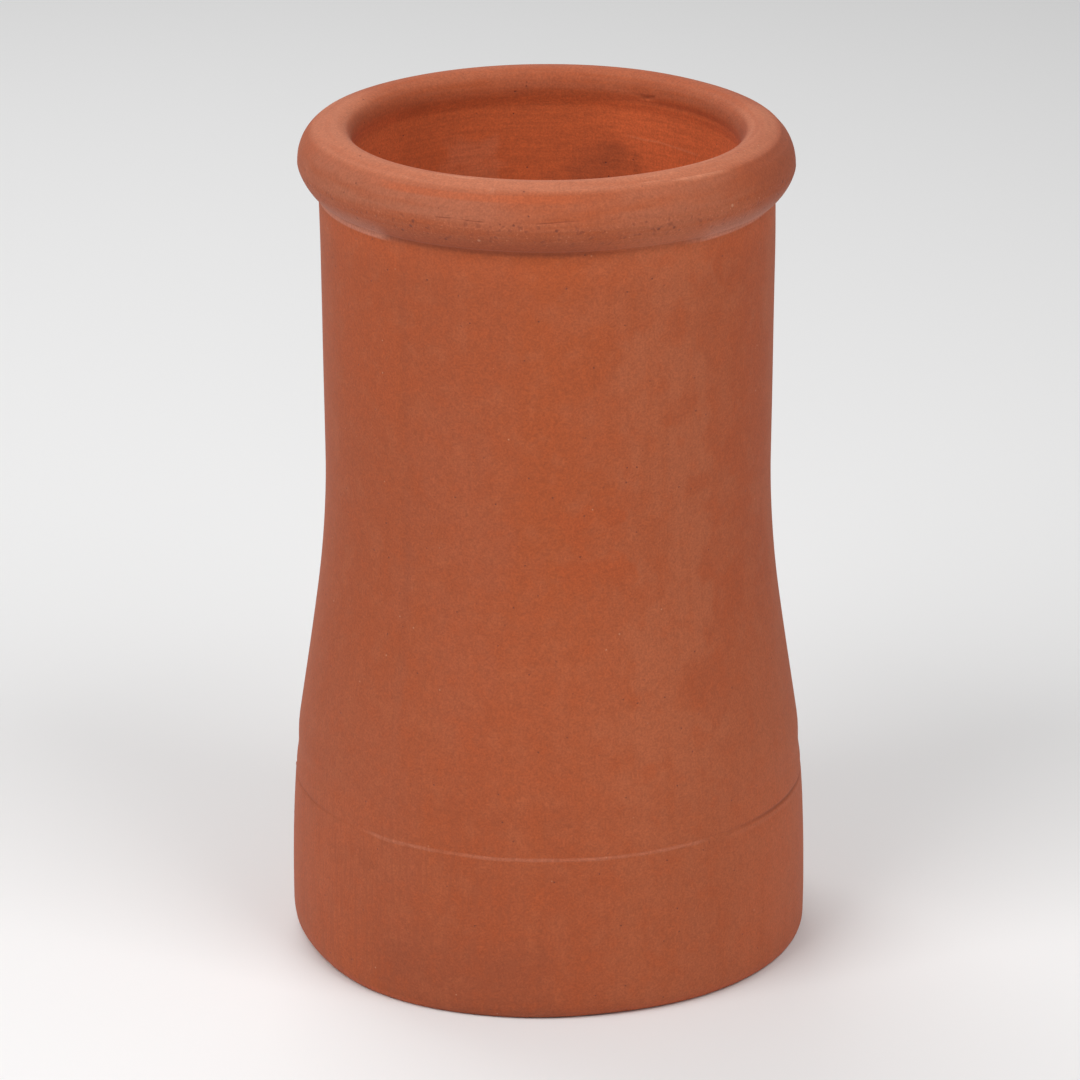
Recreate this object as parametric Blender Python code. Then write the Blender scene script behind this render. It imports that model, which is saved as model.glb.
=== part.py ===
"""Roll-topped chimney pot in unglazed red clay, fired as one hollow piece.

Metres, +Z up. The origin is at the middle of the seat, on the pot's own axis.
The pot is round, so the whole shape is one closed outline turned about that axis.
"""

import math

import bmesh
import bpy

# Overall
HEIGHT = 0.450            # seat of the foot to the crest of the roll
WALL = 0.0155             # thickness of the clay from foot to rim
BARREL_RADIUS = 0.1178    # outside of the upper body where it leaves the flare
BARREL_WIDENING = 0.0012  # how much wider it has grown under the roll

# Foot band, from the seat up to the seam
SEAM_HEIGHT = 0.090       # seam that runs round the top of the band
SEAM_STEP = 0.0003        # how far the band stands proud at the seam
SEAM_EASE = 0.0006        # height over which that fine ledge slopes
WIDEST_HEIGHT = 0.026     # where the foot is at its widest
BAND_SPREAD = 0.0027      # how far the band widens down to there
FOOT_TUCK = 0.0006        # how far it draws in again below that
FOOT_ARRIS = 0.0045       # rounded edge round the outside of the seat, across
FOOT_ARRIS_RISE = 0.0085  # and up
SEAT_INNER_ARRIS = 0.003  # rounded edge round the inside of the seat

# Shoulder, the soft step just above the seam
SHOULDER_GAP = 0.0045     # plain wall between the seam and the shoulder
SHOULDER_RISE = 0.0135    # height of the step
SHOULDER_STEP = 0.0014    # how far it brings the wall out

# Flare between the shoulder and the barrel
FLARE_SPREAD = 0.0165     # how far the flare brings the wall out
EASE_HEIGHT = 0.013       # where the slope turns upright above the shoulder
EASE_POWER = 2.3          # how late it turns
CONE_HEIGHT = 0.069       # straight slope
SWEEP_HEIGHT = 0.074      # long hollow sweep into the barrel

# Roll at the rim
ROLL_OVERHANG = 0.0111    # how far the roll stands out from the barrel
ROLL_DROP = 0.0206        # crest down to the roll's outermost line
ROLL_UNDERSIDE = 0.0190   # outermost line down to where the roll ends
TOP_FULLNESS = 2.0        # 2 is a true ellipse
UNDER_FULLNESS = 1.45     # less than 2 is leaner, near a chamfer
CREST_SETBACK = 0.0174    # from the outermost line in to the middle of the crest
CREST_LAND = 0.003        # flat ring along the crest
COVE_RADIUS = 0.003       # small hollow between the roll and the barrel
LIP_INSET = 0.0021        # how far the lip stands in from the bore
LIP_DROP = 0.010          # crest down to the lip's innermost line
LIP_UNDERCUT = 0.005      # height over which the lip runs back to the bore

# How finely the curves are divided
SIDES = 64
BAND_STEPS = 4
SHOULDER_STEPS = 4
EASE_STEPS = 3
SWEEP_STEPS = 5
ROLL_STEPS = 8
LIP_STEPS = 5
SMALL_ARC_STEPS = 3

SMOOTH_ANGLE = math.radians(35)
CLAY_COLOUR = (0.376, 0.098, 0.045, 1.0)
CLAY_ROUGHNESS = 0.9

# Heights where one part of the wall ends and the next begins
SHOULDER_FOOT = SEAM_HEIGHT + SHOULDER_GAP
SHOULDER_TOP = SHOULDER_FOOT + SHOULDER_RISE
CONE_FOOT = SHOULDER_TOP + EASE_HEIGHT
CONE_TOP = CONE_FOOT + CONE_HEIGHT
FLARE_TOP = CONE_TOP + SWEEP_HEIGHT
ROLL_MIDDLE = HEIGHT - ROLL_DROP
ROLL_FOOT = ROLL_MIDDLE - ROLL_UNDERSIDE


def clear_scene():
    """Take away whatever objects the scene starts with"""
    for old in list(bpy.data.objects):
        bpy.data.objects.remove(old, do_unlink=True)


def steps(start, end, count):
    """Evenly spaced values from start to end, with both ends"""
    return [start + (end - start) * i / count for i in range(count + 1)]


def share(height, low, high):
    """How far a height has gone from low to high, kept between 0 and 1"""
    return min(max((height - low) / (high - low), 0.0), 1.0)


def barrel_at(height):
    """Radius of the barrel, which widens slightly towards the roll"""
    return BARREL_RADIUS + BARREL_WIDENING * share(height, FLARE_TOP, ROLL_FOOT)


def flare_at(height):
    """How far the flare has brought the wall out: sweep, straight slope, then ease"""
    slope = FLARE_SPREAD / (EASE_HEIGHT / EASE_POWER + CONE_HEIGHT + SWEEP_HEIGHT / 2)
    sweep = SWEEP_HEIGHT / 2 * (1 - share(height, CONE_TOP, FLARE_TOP)) ** 2
    cone = CONE_HEIGHT * (1 - share(height, CONE_FOOT, CONE_TOP))
    ease = EASE_HEIGHT / EASE_POWER * (1 - share(height, SHOULDER_TOP, CONE_FOOT) ** EASE_POWER)
    return slope * (sweep + cone + ease)


def shoulder_at(height):
    """How far the soft step above the seam has brought the wall out"""
    down = 1 - share(height, SHOULDER_FOOT, SHOULDER_TOP)
    return SHOULDER_STEP * down * down * (3 - 2 * down)


def band_at(height):
    """How far the foot band has widened, and drawn in again below its widest ring"""
    widening = BAND_SPREAD * (1 - share(height, WIDEST_HEIGHT, SHOULDER_FOOT) ** 2)
    tuck = FOOT_TUCK * (1 - share(height, 0.0, WIDEST_HEIGHT)) ** 2
    return widening - tuck


def wall_at(height):
    """Outer radius of the wall, without the ledge at the seam and without the roll"""
    return barrel_at(height) + flare_at(height) + shoulder_at(height) + band_at(height)


def flare_heights():
    """Heights from the foot of the shoulder to the top of the flare"""
    return (steps(SHOULDER_FOOT, SHOULDER_TOP, SHOULDER_STEPS)
            + steps(SHOULDER_TOP, CONE_FOOT, EASE_STEPS)[1:]
            + steps(CONE_TOP, FLARE_TOP, SWEEP_STEPS))


def ellipse(centre, reach, start, end, count, fullness=2.0):
    """Points on an ellipse about centre, (radius, height), between two angles in degrees"""
    points = []
    power = 2 / fullness
    for angle in steps(math.radians(start), math.radians(end), count):
        across, up = math.cos(angle), math.sin(angle)
        points.append((centre[0] + reach[0] * math.copysign(abs(across) ** power, across),
                       centre[1] + reach[1] * math.copysign(abs(up) ** power, up)))
    return points


def outer_wall():
    """Seat's outer edge, foot band, ledge at the seam, shoulder and flare"""
    edge = wall_at(FOOT_ARRIS_RISE) + SEAM_STEP
    arris = ellipse((edge - FOOT_ARRIS, FOOT_ARRIS_RISE), (FOOT_ARRIS, FOOT_ARRIS_RISE),
                    -90, 0, SMALL_ARC_STEPS)
    band = [(wall_at(z) + SEAM_STEP, z) for z in steps(FOOT_ARRIS_RISE, SEAM_HEIGHT, BAND_STEPS)]
    ledge_top = SEAM_HEIGHT + SEAM_EASE
    above = [(wall_at(z), z) for z in [ledge_top] + flare_heights()]
    return arris + band[1:] + above


def roll():
    """Cove, underside and face of the roll, crest, and inside of the lip down to the bore"""
    barrel = barrel_at(ROLL_FOOT)
    half_land = CREST_LAND / 2
    outer_crest = barrel + ROLL_OVERHANG - CREST_SETBACK + half_land
    inner_crest = outer_crest - CREST_LAND
    reach = CREST_SETBACK - half_land

    under = ellipse((outer_crest, ROLL_MIDDLE), (reach, ROLL_UNDERSIDE), -90, 0, ROLL_STEPS, UNDER_FULLNESS)
    clear = [(r, z) for r, z in under if r > barrel + COVE_RADIUS]
    cove_top = clear[0][1]
    cove = ellipse((barrel + COVE_RADIUS, cove_top - COVE_RADIUS), (COVE_RADIUS, COVE_RADIUS),
                   180, 90, SMALL_ARC_STEPS)
    face = ellipse((outer_crest, ROLL_MIDDLE), (reach, ROLL_DROP), 0, 90, ROLL_STEPS, TOP_FULLNESS)

    bore = barrel - WALL
    lip_height = HEIGHT - LIP_DROP
    lip = ellipse((inner_crest, lip_height), (inner_crest - bore + LIP_INSET, LIP_DROP), 90, 180, LIP_STEPS)
    undercut = ellipse((bore, lip_height), (LIP_INSET, LIP_UNDERCUT), 180, 270, SMALL_ARC_STEPS)
    return cove + clear + face[1:] + lip + undercut[1:]


def inner_wall():
    """Bore, from the top of the flare down to the seat's inner edge, a wall's thickness inside"""
    heights = flare_heights()[::-1] + steps(SHOULDER_FOOT, SEAT_INNER_ARRIS, BAND_STEPS)[1:]
    wall = [(wall_at(z) - WALL, z) for z in heights]
    edge = wall[-1][0] + SEAT_INNER_ARRIS
    arris = ellipse((edge, SEAT_INNER_ARRIS), (SEAT_INNER_ARRIS, SEAT_INNER_ARRIS),
                    180, 270, SMALL_ARC_STEPS)
    return wall + arris[1:]


def turn(name, outline, sides):
    """Turn a closed outline of (radius, height) points about +Z into one solid"""
    shape = bmesh.new()
    ring = [shape.verts.new((radius, 0.0, height)) for radius, height in outline]
    for here, after in zip(ring, ring[1:] + ring[:1]):
        shape.edges.new((here, after))
    bmesh.ops.spin(shape, geom=shape.verts[:] + shape.edges[:], cent=(0, 0, 0), axis=(0, 0, 1),
                   angle=2 * math.pi, steps=sides, use_merge=True, use_duplicate=False)
    bmesh.ops.recalc_face_normals(shape, faces=shape.faces[:])
    mesh = bpy.data.meshes.new(name)
    shape.to_mesh(mesh)
    shape.free()
    mesh.shade_smooth()
    mesh.set_sharp_from_angle(angle=SMOOTH_ANGLE)
    piece = bpy.data.objects.new(name, mesh)
    bpy.context.scene.collection.objects.link(piece)
    return piece


def fired_clay():
    """Dull red clay body"""
    clay = bpy.data.materials.new("fired_clay")
    clay.use_nodes = True
    shader = clay.node_tree.nodes["Principled BSDF"]
    shader.inputs["Base Color"].default_value = CLAY_COLOUR
    shader.inputs["Roughness"].default_value = CLAY_ROUGHNESS
    shader.inputs["Metallic"].default_value = 0.0
    return clay


def build():
    """Make the pot"""
    clear_scene()
    pot = turn("chimney_pot", outer_wall() + roll() + inner_wall(), SIDES)
    pot.data.materials.append(fired_clay())


build()
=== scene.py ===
# %% [markdown]
# # A roll-topped chimney pot
# The real pot is one hollow body of red clay, open at both ends. It was shaped, wiped smooth,
# dried and fired without a glaze. The frame already holds a plain turned solid of it, which
# gives the weight and the collision. This lesson makes the surface that is seen: the same
# turned form with finer rings, then its wear, and then a clay finish made with nodes.

# %% Load the frame
import math

import bmesh
import bpy
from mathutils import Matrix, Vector, noise


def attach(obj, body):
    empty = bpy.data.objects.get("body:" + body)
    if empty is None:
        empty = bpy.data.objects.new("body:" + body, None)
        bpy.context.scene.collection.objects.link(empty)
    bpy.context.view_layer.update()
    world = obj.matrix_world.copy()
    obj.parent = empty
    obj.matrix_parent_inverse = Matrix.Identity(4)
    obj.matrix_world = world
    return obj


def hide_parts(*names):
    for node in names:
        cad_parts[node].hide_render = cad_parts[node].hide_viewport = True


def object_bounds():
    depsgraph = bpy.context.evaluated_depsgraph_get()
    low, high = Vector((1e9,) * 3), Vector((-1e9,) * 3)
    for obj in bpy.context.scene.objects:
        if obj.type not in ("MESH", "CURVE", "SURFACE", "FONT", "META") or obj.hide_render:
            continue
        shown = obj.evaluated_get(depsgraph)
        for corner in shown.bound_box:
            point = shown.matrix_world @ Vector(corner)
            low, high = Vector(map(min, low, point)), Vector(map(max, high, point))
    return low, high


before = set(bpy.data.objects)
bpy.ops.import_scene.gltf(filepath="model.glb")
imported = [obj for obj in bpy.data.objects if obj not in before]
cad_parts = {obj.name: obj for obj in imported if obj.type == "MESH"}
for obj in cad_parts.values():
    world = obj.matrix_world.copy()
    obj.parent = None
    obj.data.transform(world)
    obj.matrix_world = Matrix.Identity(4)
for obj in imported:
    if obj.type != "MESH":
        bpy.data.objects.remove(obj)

cad_low, cad_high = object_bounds()
HEIGHT = cad_high.z - cad_low.z
WIDEST_RADIUS = cad_high.x
print(f"The frame is {HEIGHT * 1000:.1f} mm high and {WIDEST_RADIUS * 2000:.1f} mm across")

# %% [markdown]
# ## The sizes that the pot is drawn from
# A potter thinks of this pot from the seat up: a foot band with a fine seam round its top,
# a soft shoulder, a long flare, a plain barrel and a roll at the rim. Each of these has a
# few sizes. The height and the widest radius come from the frame, so the fine mesh can't
# grow past the solid.

# %% Sizes of the wall
WALL = 0.0155             # thickness of the clay
SEAM_HEIGHT = 0.090       # top of the foot band
SEAM_STEP = 0.0003        # how far the band stands proud there
SEAM_EASE = 0.0009        # height over which that fine ledge slopes
WIDEST_HEIGHT = 0.026     # where the foot is at its widest
BAND_SPREAD = 0.0027      # how far the band widens down to there
FOOT_TUCK = 0.0006        # how far it draws in again below that
FOOT_ARRIS = 0.0045       # rounded edge round the seat, across
FOOT_ARRIS_RISE = 0.0085  # and up
SEAT_INNER_ARRIS = 0.003  # rounded edge round the inside of the seat
SHOULDER_GAP = 0.0045     # plain wall between the seam and the shoulder
SHOULDER_RISE = 0.0135    # height of the soft step
SHOULDER_STEP = 0.0014    # how far it brings the wall out
FLARE_SPREAD = 0.0165     # how far the flare brings the wall out
EASE_HEIGHT = 0.013       # where the slope turns upright above the shoulder
EASE_POWER = 2.3          # how late it turns
CONE_HEIGHT = 0.069       # straight slope
SWEEP_HEIGHT = 0.074      # long hollow sweep into the barrel
BARREL_WIDENING = 0.0012  # how much wider the barrel has grown under the roll

BARREL_RADIUS = WIDEST_RADIUS - FLARE_SPREAD - SHOULDER_STEP - BAND_SPREAD - SEAM_STEP
SHOULDER_FOOT = SEAM_HEIGHT + SHOULDER_GAP
SHOULDER_TOP = SHOULDER_FOOT + SHOULDER_RISE
CONE_FOOT = SHOULDER_TOP + EASE_HEIGHT
CONE_TOP = CONE_FOOT + CONE_HEIGHT
FLARE_TOP = CONE_TOP + SWEEP_HEIGHT
print(f"The barrel is {BARREL_RADIUS * 2000:.1f} mm across above the flare")

# %% [markdown]
# ## The sizes of the roll
# The roll was shaped last, over the wet rim, so it has sizes of its own. It hangs out over
# the barrel, its top was wiped to a flat bevel, and inside it eases back to the bore.

# %% Sizes of the roll and the lip
ROLL_OVERHANG = 0.0111    # how far the roll stands out from the barrel
ROLL_DROP = 0.0206        # crest down to the roll's outermost line
ROLL_UNDERSIDE = 0.0190   # outermost line down to where the roll ends
UNDER_FULLNESS = 1.45     # 2 is a true ellipse, less is leaner
CREST_SETBACK = 0.0174    # outermost line in to the middle of the crest
CREST_LAND = 0.003        # flat ring along the crest
BEVEL_ANGLE = 61          # degrees round the roll where the wiped bevel on its top begins
BEVEL_BULGE = 0.0001      # how far that bevel is from flat
COVE_RADIUS = 0.003       # small hollow between the roll and the barrel
LIP_INSET = 0.0021        # how far the lip stands in from the bore
LIP_DROP = 0.010          # crest down to the lip's innermost line
LIP_UNDERCUT = 0.012      # height over which the lip eases back to the bore

ROLL_MIDDLE = HEIGHT - ROLL_DROP
ROLL_FOOT = ROLL_MIDDLE - ROLL_UNDERSIDE
LIP_HEIGHT = HEIGHT - LIP_DROP
print(f"The roll starts {ROLL_FOOT * 1000:.1f} mm above the seat")

# %% [markdown]
# ## The wall as a sum of plain forms
# The outside radius at any height is the barrel's, plus what the flare, the shoulder and
# the band add there. Each form is a small function of the height. The bore is the same
# curve, a wall's thickness further in, as on a pot pressed in a mould or thrown.

# %% Curves of the wall
def steps(start, end, count):
    """Evenly spaced values from start to end, with both ends"""
    return [start + (end - start) * i / count for i in range(count + 1)]


def share(value, low, high):
    """How far a value has gone from low to high, kept between 0 and 1"""
    return min(max((value - low) / (high - low), 0.0), 1.0)


def ease(part):
    """The same share, starting and ending gently"""
    return part * part * (3 - 2 * part)


def flare_at(height):
    """How far the flare brings the wall out"""
    slope = FLARE_SPREAD / (EASE_HEIGHT / EASE_POWER + CONE_HEIGHT + SWEEP_HEIGHT / 2)
    sweep = SWEEP_HEIGHT / 2 * (1 - share(height, CONE_TOP, FLARE_TOP)) ** 2
    cone = CONE_HEIGHT * (1 - share(height, CONE_FOOT, CONE_TOP))
    turn = EASE_HEIGHT / EASE_POWER * (1 - share(height, SHOULDER_TOP, CONE_FOOT) ** EASE_POWER)
    return slope * (sweep + cone + turn)


def band_at(height):
    """How far the foot band widens, and draws in again near the seat"""
    widening = BAND_SPREAD * (1 - share(height, WIDEST_HEIGHT, SHOULDER_FOOT) ** 2)
    return widening - FOOT_TUCK * (1 - share(height, 0.0, WIDEST_HEIGHT)) ** 2


def wall_at(height):
    """Outside radius of the wall, without the seam and the roll"""
    barrel = BARREL_RADIUS + BARREL_WIDENING * share(height, FLARE_TOP, ROLL_FOOT)
    shoulder = SHOULDER_STEP * ease(1 - share(height, SHOULDER_FOOT, SHOULDER_TOP))
    return barrel + flare_at(height) + shoulder + band_at(height)


def ellipse(centre, reach, start, end, count, fullness=2.0):
    """Points (radius, height) on an ellipse about centre, between two angles in degrees"""
    power = 2 / fullness
    points = []
    for angle in steps(math.radians(start), math.radians(end), count):
        across, up = math.cos(angle), math.sin(angle)
        points.append((centre[0] + reach[0] * math.copysign(abs(across) ** power, across),
                       centre[1] + reach[1] * math.copysign(abs(up) ** power, up)))
    return points


print(f"Outside radius at the seam: {wall_at(SEAM_HEIGHT) * 1000:.1f} mm")

# %% [markdown]
# ## The outline, ring by ring
# A lathe needs one closed outline. Rings stand close together where the light shows small
# forms, on the roll, the lip and the seam, and wide apart on the plain bore, because every
# ring costs some seven hundred triangles once it is turned.

# %% Outline of the outside
SAME_RING = 1e-7          # heights closer than this are one ring
EDGE_STEPS = 10
OUTSIDE_RINGS = [
    # from this height, up to this height, in so many steps
    (FOOT_ARRIS_RISE, SEAM_HEIGHT - 0.0021, 20),
    (SEAM_HEIGHT - 0.0012, SEAM_HEIGHT + 0.0024, 12),
    (SHOULDER_FOOT, SHOULDER_TOP, 8),
    (SHOULDER_TOP, CONE_FOOT, 3),
    (CONE_FOOT, CONE_TOP, 13),
    (CONE_TOP, FLARE_TOP, 15),
    (FLARE_TOP, ROLL_FOOT - 0.002, 26),
]


def along(stretches):
    """Heights of the rings on several stretches, with an end that two share only once"""
    heights = []
    for start, end, count in stretches:
        for height in steps(start, end, count):
            if not heights or abs(height - heights[-1]) > SAME_RING:
                heights.append(height)
    return heights


def seam_at(height):
    """The fine ledge: full below the seam, gone just above it"""
    return SEAM_STEP * (1 - ease(share(height, SEAM_HEIGHT, SEAM_HEIGHT + SEAM_EASE)))


def outside_outline():
    """Seat's outer edge, foot band, seam, shoulder, flare and barrel"""
    edge = wall_at(FOOT_ARRIS_RISE) + SEAM_STEP
    arris = ellipse((edge - FOOT_ARRIS, FOOT_ARRIS_RISE), (FOOT_ARRIS, FOOT_ARRIS_RISE),
                    -90, 0, EDGE_STEPS)
    return arris + [(wall_at(z) + seam_at(z), z) for z in along(OUTSIDE_RINGS)[1:]]


outside = outside_outline()
print(f"Outside: {len(outside)} rings")

# %% [markdown]
# ## The outline of the roll
# The roll is two part ellipses, a lean one below its widest ring and a full one above. The
# wiped bevel cuts the top of the full one off. The rings stand closest where a tool later
# drags its line, because a mark finer than the rings can't be pressed in.

# %% Outline of the roll and the lip
UNDER_STEPS = 26
COVE_STEPS = 7
FACE_RINGS = [
    # from this angle, up to this angle, in so many steps
    (0, 3, 1), (3, 12, 15), (12, BEVEL_ANGLE, 20),
]
BEVEL_STEPS = 9
LIP_STEPS = 22
UNDERCUT_STEPS = 10


def roll_outline():
    """Cove, underside, face, wiped bevel, crest, lip and undercut"""
    barrel = wall_at(ROLL_FOOT)
    outer_crest = barrel + ROLL_OVERHANG - CREST_SETBACK + CREST_LAND / 2
    inner_crest = outer_crest - CREST_LAND
    reach = CREST_SETBACK - CREST_LAND / 2
    under = ellipse((outer_crest, ROLL_MIDDLE), (reach, ROLL_UNDERSIDE),
                    -90, 0, UNDER_STEPS, UNDER_FULLNESS)
    clear = [(r, z) for r, z in under if r > barrel + COVE_RADIUS]
    cove = ellipse((barrel + COVE_RADIUS, clear[0][1] - COVE_RADIUS), (COVE_RADIUS, COVE_RADIUS),
                   180, 90, COVE_STEPS)
    face = []
    for start, end, count in FACE_RINGS:
        face += ellipse((outer_crest, ROLL_MIDDLE), (reach, ROLL_DROP), start, end, count)[1:]
    low, high = face[-1], (outer_crest, HEIGHT)
    bevel = [(low[0] + (high[0] - low[0]) * t,
              low[1] + (high[1] - low[1]) * t + BEVEL_BULGE * math.sin(math.pi * t))
             for t in steps(0, 1, BEVEL_STEPS)]
    crest = [(outer_crest - CREST_LAND / 2, HEIGHT)]
    bore = barrel - WALL
    lip = ellipse((inner_crest, LIP_HEIGHT), (inner_crest - bore + LIP_INSET, LIP_DROP),
                  90, 180, LIP_STEPS)
    undercut = [(bore - LIP_INSET * (1 - ease(t)), LIP_HEIGHT - LIP_UNDERCUT * t)
                for t in steps(0, 1, UNDERCUT_STEPS)]
    return cove + clear + face + bevel[1:] + crest + lip + undercut[1:]


roll = roll_outline()
print(f"Roll and lip: {len(roll)} rings")

# %% [markdown]
# ## The outline of the bore
# The bore follows the outside, a wall's thickness in, down to a small rounded edge at the
# seat. Little light reaches it, so its rings can stand far apart.

# %% Outline of the bore
INNER_EDGE_STEPS = 5
BORE_RINGS = [
    # from this height, down to this height, in so many steps
    (LIP_HEIGHT - LIP_UNDERCUT, FLARE_TOP, 22),
    (FLARE_TOP, CONE_FOOT, 12),
    (CONE_FOOT, SHOULDER_FOOT, 5),
    (SHOULDER_FOOT, SEAT_INNER_ARRIS, 9),
]


def bore_outline():
    """Inside of the wall, from under the lip down to the seat's inner edge"""
    wall = [(wall_at(z) - WALL, z) for z in along(BORE_RINGS)[1:]]
    arris = ellipse((wall[-1][0] + SEAT_INNER_ARRIS, SEAT_INNER_ARRIS),
                    (SEAT_INNER_ARRIS, SEAT_INNER_ARRIS), 180, 270, INNER_EDGE_STEPS)
    return wall + arris[1:]


bore = bore_outline()
print(f"Bore: {len(bore)} rings")

# %% [markdown]
# ## Turning the outline
# Spin is Blender's lathe. It copies the outline round +Z and joins the copies, and
# use_merge closes the last copy on the first. The normals are worked out again afterwards,
# because a spin can turn the whole skin inside out.

# %% Turn the pot
SIDES = 360


def turned(outline, sides):
    """Closed outline of (radius, height) points turned about +Z, as a bmesh"""
    shape = bmesh.new()
    ring = [shape.verts.new((radius, 0.0, height)) for radius, height in outline]
    for here, after in zip(ring, ring[1:] + ring[:1]):
        shape.edges.new((here, after))
    bmesh.ops.spin(shape, geom=shape.verts[:] + shape.edges[:], cent=(0, 0, 0), axis=(0, 0, 1),
                   angle=2 * math.pi, steps=sides, use_merge=True, use_duplicate=False)
    bmesh.ops.recalc_face_normals(shape, faces=shape.faces[:])
    shape.normal_update()
    return shape


clay_shape = turned(outside + roll + bore, SIDES)
closed = all(edge.is_manifold for edge in clay_shape.edges)
print(f"Turned: {len(clay_shape.faces) * 2} triangles, closed: {closed}")

# %% [markdown]
# ## What hands, tools and handling left
# A turned mesh is too perfect. The real clay is slightly uneven all over, the foot's edge
# is rubbed rounder on one side than on the other, and a tool has dragged a fine line round
# the roll. Each mark is a small depth that depends on where a point lies.

# %% Helpers for marks
NOISE_SWING = 1.6         # brings Blender's noise to about -1 and 1


def bump(distance, width):
    """1 at no distance, falling smoothly to 0 at the width"""
    return ease(1 - share(abs(distance), 0.0, width))


def apart(angle, other):
    """Degrees between two directions round the pot"""
    return (angle - other + 180) % 360 - 180


def around(angle, swells, seed):
    """Smooth noise round the pot, between about -1 and 1"""
    turn = math.radians(angle)
    reach = swells / (2 * math.pi)
    return noise.noise(Vector((math.cos(turn) * reach, math.sin(turn) * reach, seed))) * NOISE_SWING


print(f"A mark that ends 10 degrees out is down to {bump(5, 10):.2f} at 5 degrees")

# %% [markdown]
# ## The foot's edge
# Pots are rolled and dragged on their feet, which rubs the edge away unevenly. A short list
# of stretches is enough, each with a direction, a half-width in degrees and a depth.

# %% Rubbed stretches of the foot's edge
FOOT_WEAR = [
    # direction, half-width, depth; a stretch that stands out has a depth below 0
    (-74, 24, 0.0024), (-50, 50, 0.0014), (-92, 30, 0.0008),
    (-164, 32, 0.0040), (-120, 30, -0.0012), (60, 50, 0.0020),
]
FOOT_WEAR_RISE = 0.017    # height over which the rubbing fades


def foot_wear(angle, height):
    """How far the foot's edge is rubbed in at a point, in metres"""
    fade = (1 - share(height, 0.0, FOOT_WEAR_RISE)) ** 2
    return fade * sum(depth * bump(apart(angle, way), width) for way, width, depth in FOOT_WEAR)


print(f"{len(FOOT_WEAR)} stretches of wear")

# %% [markdown]
# ## The seam round the foot band
# The band and the body meet at a seam. On the front it is closed and shows only as a pale
# line, a painted highlight along its fine ledge, and on the sides it is open as a hairline
# groove that holds a shadow.

# %% The seam
SEAM_GROOVE = 0.0006      # depth where the seam is fully open
SEAM_GROOVE_WIDTH = 0.0017
SEAM_OPEN = [
    # direction, half-width, how open
    (-22, 36, 1.0), (-164, 34, 0.45), (118, 30, 0.8),
]
BURR = (179.0, 1.6, 0.0004)   # small burr on the seam: direction, half-width, how far it stands out
BURR_RISE = 0.0016            # half its height


def seam_gap(angle, height):
    """How far the seam is open at a point, from 0 to 1"""
    open_here = sum(strength * bump(apart(angle, way), width)
                    for way, width, strength in SEAM_OPEN)
    return open_here * bump(height - SEAM_HEIGHT - SEAM_EASE / 2, SEAM_GROOVE_WIDTH)


def seam_burr(angle, height):
    """How far the burr stands out at a point, in metres"""
    return BURR[2] * bump(apart(angle, BURR[0]), BURR[1]) * bump(height - SEAM_HEIGHT, BURR_RISE)


print(f"The seam is {SEAM_GROOVE * 1000:.1f} mm deep where it is open")

# %% [markdown]
# ## The roll's own marks
# The roll was turned with a tool and a wet cloth. A crumb of grit caught under the tool and
# dragged a thin broken line round the face, just above its widest ring. Fine turning rings
# cover the rest, and the bevel has a crisp edge on one side only.

# %% Marks on the roll
DRAG_HEIGHT = ROLL_MIDDLE + 0.0034
DRAG_DEPTH = 0.00036
DRAG_WIDTH = 0.0006
DRAG_ENDS = (-90, 34)     # middle and half-width of the stretch with the line, in degrees
DRAG_FADE = 8.0           # degrees over which the line ends
DRAG_DROP = (-58, 9, 0.0045)                         # where it runs off: direction, width, drop
DRAG_WANDER = ((0.0009, 9, 3.1), (0.0004, 60, 1.7))  # how far, swells in a turn, seed
DRAG_BREAKS = (75, 8.4)                              # swells in a turn, seed
RIDGE = (-14, 40, 0.00035)  # crisp stretch of the bevel: direction, half-width, depth
RIDGE_DROP = 0.0026         # from the crest down to its crisp edge
RIDGE_RISE = 0.0024         # half the height of the band pressed in below that edge
THROW_DEPTH = 0.00008     # fine rings left by turning
THROW_RATE = 620          # rings to the metre of height, loosely


def drag_line(angle, height):
    """How strongly the dragged line shows at a point, from 0 to 1"""
    drop = DRAG_DROP[2] * ease(share(angle, DRAG_DROP[0] - DRAG_DROP[1], DRAG_DROP[0]))
    wander = sum(far * around(angle, swells, seed) for far, swells, seed in DRAG_WANDER) - drop
    broken = share(around(angle, *DRAG_BREAKS) + 0.15, 0.0, 0.35)
    stretch = share(DRAG_ENDS[1] - abs(apart(angle, DRAG_ENDS[0])), 0.0, DRAG_FADE)
    return broken * stretch * bump(height - DRAG_HEIGHT - wander, DRAG_WIDTH)


def turning(angle, radius, height):
    """The faint rings on the roll, and the clay pressed in below the crisp edge of the bevel"""
    ring = noise.noise(Vector((angle / 140, radius * THROW_RATE, height * THROW_RATE)))
    below_edge = bump(height - HEIGHT + RIDGE_DROP + RIDGE_RISE, RIDGE_RISE)
    pressed = RIDGE[2] * below_edge * bump(apart(angle, RIDGE[0]), RIDGE[1])
    return THROW_DEPTH * (0.5 + 0.5 * ring) + pressed


print(f"The line is dragged round {DRAG_ENDS[1] * 2} degrees of the roll")

# %% [markdown]
# ## The lip
# Inside the rim the lip folds over the bore softly on most of the pot. On one stretch it is
# cut under more sharply, and there the clay has torn a little.

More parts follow.
